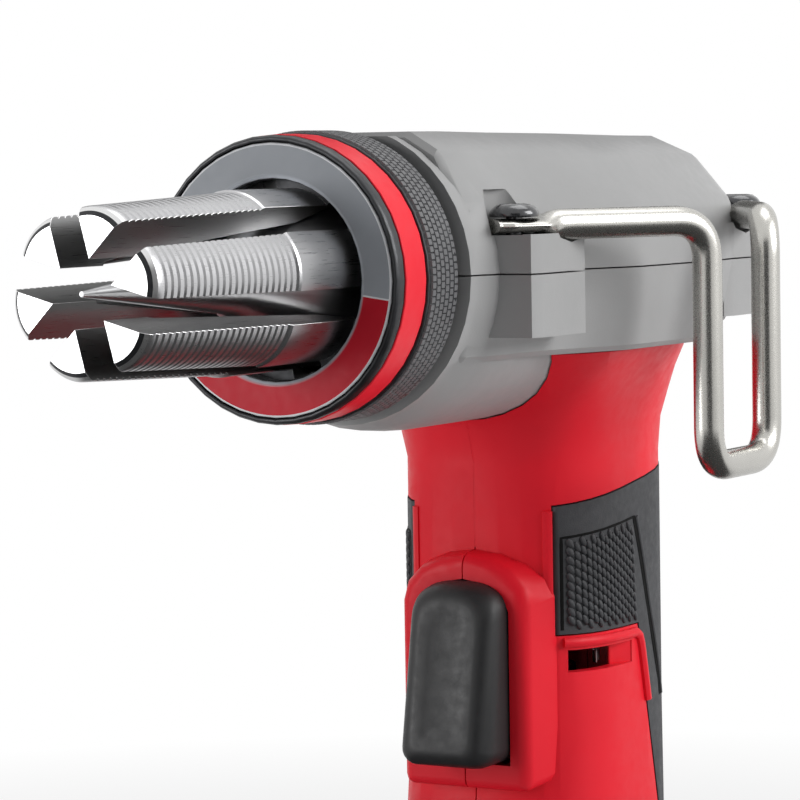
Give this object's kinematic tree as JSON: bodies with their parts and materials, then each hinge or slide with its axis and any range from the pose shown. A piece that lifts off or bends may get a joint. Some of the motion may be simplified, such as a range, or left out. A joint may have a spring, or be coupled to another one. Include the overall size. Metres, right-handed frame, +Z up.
{
  "type": "pex expansion tool",
  "caption": "Pistol-grip cordless pipe expander with a multi-jaw cone-driven head, carry hook, trigger and slide-in battery foot.",
  "frame": {"origin": "centre of the battery foot's flat underside", "axes": "+Z up, the expander head points to -Y, +X is the tool's left side, where the carry hook is"},
  "size_m": [0.0965, 0.206, 0.2077],
  "materials": {
    "housing_upper": "satin grey cast housing",
    "housing_lower": "satin grey cast housing",
    "nose_barrel": "dark, threaded",
    "rod_bush": "plain",
    "cam_bearing_upper": "machined",
    "cam_bearing_lower": "machined",
    "gearbox_case": "machined",
    "motor_stator": "machined",
    "cam_disc": "machined",
    "cam_gear": "machined",
    "cam_shaft": "machined",
    "pinion": "machined",
    "push_rod": "machined",
    "roller_pin": "machined",
    "cam_roller": "machined",
    "thrust_ring": "machined",
    "motor_rotor": "laminations and copper windings",
    "jaw_1": "ground steel, bright end faces",
    "jaw_2": "ground steel, bright end faces",
    "jaw_3": "ground steel, bright end faces",
    "jaw_4": "ground steel, bright end faces",
    "jaw_5": "ground steel, bright end faces",
    "jaw_6": "ground steel, bright end faces",
    "expansion_cone": "ground steel, bright end faces",
    "collar_nut": "black, knurled rear half",
    "face_plate": "grey with a red sector",
    "colour_band": "red band",
    "handle_left": "red nylon",
    "handle_right": "red nylon",
    "grip_left": "soft overmould",
    "grip_right": "soft overmould",
    "trigger": "satin black",
    "switch_body": "satin black",
    "contact_block": "satin black",
    "carry_hook": "satin nickel wire",
    "hook_screw_front": "gloss black",
    "hook_screw_rear": "gloss black",
    "battery_cover": "black",
    "battery_base": "black",
    "battery_cell_1": "shrink wrap",
    "battery_cell_2": "shrink wrap",
    "battery_cell_3": "shrink wrap",
    "latch_left": "red",
    "latch_right": "red"
  },
  "bodies": {
    "tool_body": {"housing_upper": "housing_upper", "housing_lower": "housing_lower", "nose_barrel": "nose_barrel", "rod_bush": "rod_bush", "cam_bearing_upper": "cam_bearing_upper", "cam_bearing_lower": "cam_bearing_lower", "gearbox_case": "gearbox_case", "motor_stator": "motor_stator", "handle_left": "handle_left", "handle_right": "handle_right", "grip_left": "grip_left", "grip_right": "grip_right", "switch_body": "switch_body", "contact_block": "contact_block", "carry_hook": "carry_hook", "hook_screw_front": "hook_screw_front", "hook_screw_rear": "hook_screw_rear"},
    "collar": {"collar_nut": "collar_nut", "face_plate": "face_plate", "colour_band": "colour_band"},
    "jaw_ring": {"thrust_ring": "thrust_ring"},
    "cam": {"cam_disc": "cam_disc", "cam_gear": "cam_gear", "cam_shaft": "cam_shaft"},
    "pinion_gear": {"pinion": "pinion"},
    "rotor": {"motor_rotor": "motor_rotor"},
    "push_rod": {"push_rod": "push_rod", "roller_pin": "roller_pin"},
    "roller": {"cam_roller": "cam_roller"},
    "cone": {"expansion_cone": "expansion_cone"},
    "trigger": {"trigger": "trigger"},
    "battery": {"battery_cover": "battery_cover", "battery_base": "battery_base", "battery_cell_1": "battery_cell_1", "battery_cell_2": "battery_cell_2", "battery_cell_3": "battery_cell_3"},
    "latch_button_left": {"latch_left": "latch_left"},
    "latch_button_right": {"latch_right": "latch_right"},
    "jaw_1_body": {"jaw_1": "jaw_1"},
    "jaw_2_body": {"jaw_2": "jaw_2"},
    "jaw_3_body": {"jaw_3": "jaw_3"},
    "jaw_4_body": {"jaw_4": "jaw_4"},
    "jaw_5_body": {"jaw_5": "jaw_5"},
    "jaw_6_body": {"jaw_6": "jaw_6"}
  },
  "joints": [
    {"name": "cam_turn", "type": "hinge", "parent": "tool_body", "child": "cam", "pos_m": [0, -0.0214, 0.18], "axis": [0, 0, 1], "range_deg": [0, 180]},
    {"name": "push_rod_slide", "type": "slide", "parent": "tool_body", "child": "push_rod", "axis": [0, 1, 0], "range_m": [0, 0.014]},
    {"name": "pinion_turn", "type": "hinge", "parent": "tool_body", "child": "pinion_gear", "pos_m": [0, 0.0155, 0.18], "axis": [0, 0, 1], "range_deg": [-468.1, 0]},
    {"name": "rotor_turn", "type": "hinge", "parent": "tool_body", "child": "rotor", "pos_m": [0, 0.0155, 0.18], "axis": [0, 0, 1], "range_deg": [-1872.1, 0]},
    {"name": "jaw_ring_turn", "type": "hinge", "parent": "tool_body", "child": "jaw_ring", "pos_m": [0, -0.086, 0.18], "axis": [0, 1, 0], "continuous": true},
    {"name": "cone_turn", "type": "hinge", "parent": "push_rod", "child": "cone", "pos_m": [0, -0.086, 0.18], "axis": [0, 1, 0], "continuous": true},
    {"name": "roller_turn", "type": "hinge", "parent": "push_rod", "child": "roller", "pos_m": [0, -0.0501, 0.18], "axis": [0, 0, 1], "continuous": true},
    {"name": "collar_turn", "type": "hinge", "parent": "tool_body", "child": "collar", "pos_m": [0, -0.086, 0.18], "axis": [0, 1, 0], "continuous": true},
    {"name": "trigger_pull", "type": "slide", "parent": "tool_body", "child": "trigger", "axis": [0, 1, 0], "range_m": [0, 0.005], "stiffness_N_per_m": 600, "springref_m": -0.002},
    {"name": "battery_slide", "type": "slide", "parent": "tool_body", "child": "battery", "axis": [0, 0, -1], "range_m": [0, 0.045]},
    {"name": "latch_left_press", "type": "slide", "parent": "battery", "child": "latch_button_left", "axis": [-1, 0, 0], "range_m": [0, 0.002], "stiffness_N_per_m": 1000, "springref_m": -0.001},
    {"name": "latch_right_press", "type": "slide", "parent": "battery", "child": "latch_button_right", "axis": [1, 0, 0], "range_m": [0, 0.002], "stiffness_N_per_m": 1000, "springref_m": -0.001},
    {"name": "jaw_1_slide", "type": "slide", "parent": "jaw_ring", "child": "jaw_1_body", "axis": [-0.9659, 0, -0.2588], "range_m": [0, 0.006]},
    {"name": "jaw_2_slide", "type": "slide", "parent": "jaw_ring", "child": "jaw_2_body", "axis": [-0.2588, 0, -0.9659], "range_m": [0, 0.006]},
    {"name": "jaw_3_slide", "type": "slide", "parent": "jaw_ring", "child": "jaw_3_body", "axis": [0.7071, 0, -0.7071], "range_m": [0, 0.006]},
    {"name": "jaw_4_slide", "type": "slide", "parent": "jaw_ring", "child": "jaw_4_body", "axis": [0.9659, 0, 0.2588], "range_m": [0, 0.006]},
    {"name": "jaw_5_slide", "type": "slide", "parent": "jaw_ring", "child": "jaw_5_body", "axis": [0.2588, 0, 0.9659], "range_m": [0, 0.006]},
    {"name": "jaw_6_slide", "type": "slide", "parent": "jaw_ring", "child": "jaw_6_body", "axis": [-0.7071, 0, 0.7071], "range_m": [0, 0.006]}
  ],
  "couplings": [
    {"joint": "push_rod_slide", "follows": "cam_turn", "m_per_rad": 0.0044563},
    {"joint": "pinion_turn", "follows": "cam_turn", "ratio": -2.6},
    {"joint": "rotor_turn", "follows": "cam_turn", "ratio": -10.4},
    {"joint": "cone_turn", "follows": "jaw_ring_turn", "ratio": 1},
    {"joint": "jaw_1_slide", "follows": "cam_turn", "m_per_rad": 0.0019099},
    {"joint": "jaw_2_slide", "follows": "cam_turn", "m_per_rad": 0.0019099},
    {"joint": "jaw_3_slide", "follows": "cam_turn", "m_per_rad": 0.0019099},
    {"joint": "jaw_4_slide", "follows": "cam_turn", "m_per_rad": 0.0019099},
    {"joint": "jaw_5_slide", "follows": "cam_turn", "m_per_rad": 0.0019099},
    {"joint": "jaw_6_slide", "follows": "cam_turn", "m_per_rad": 0.0019099}
  ]
}
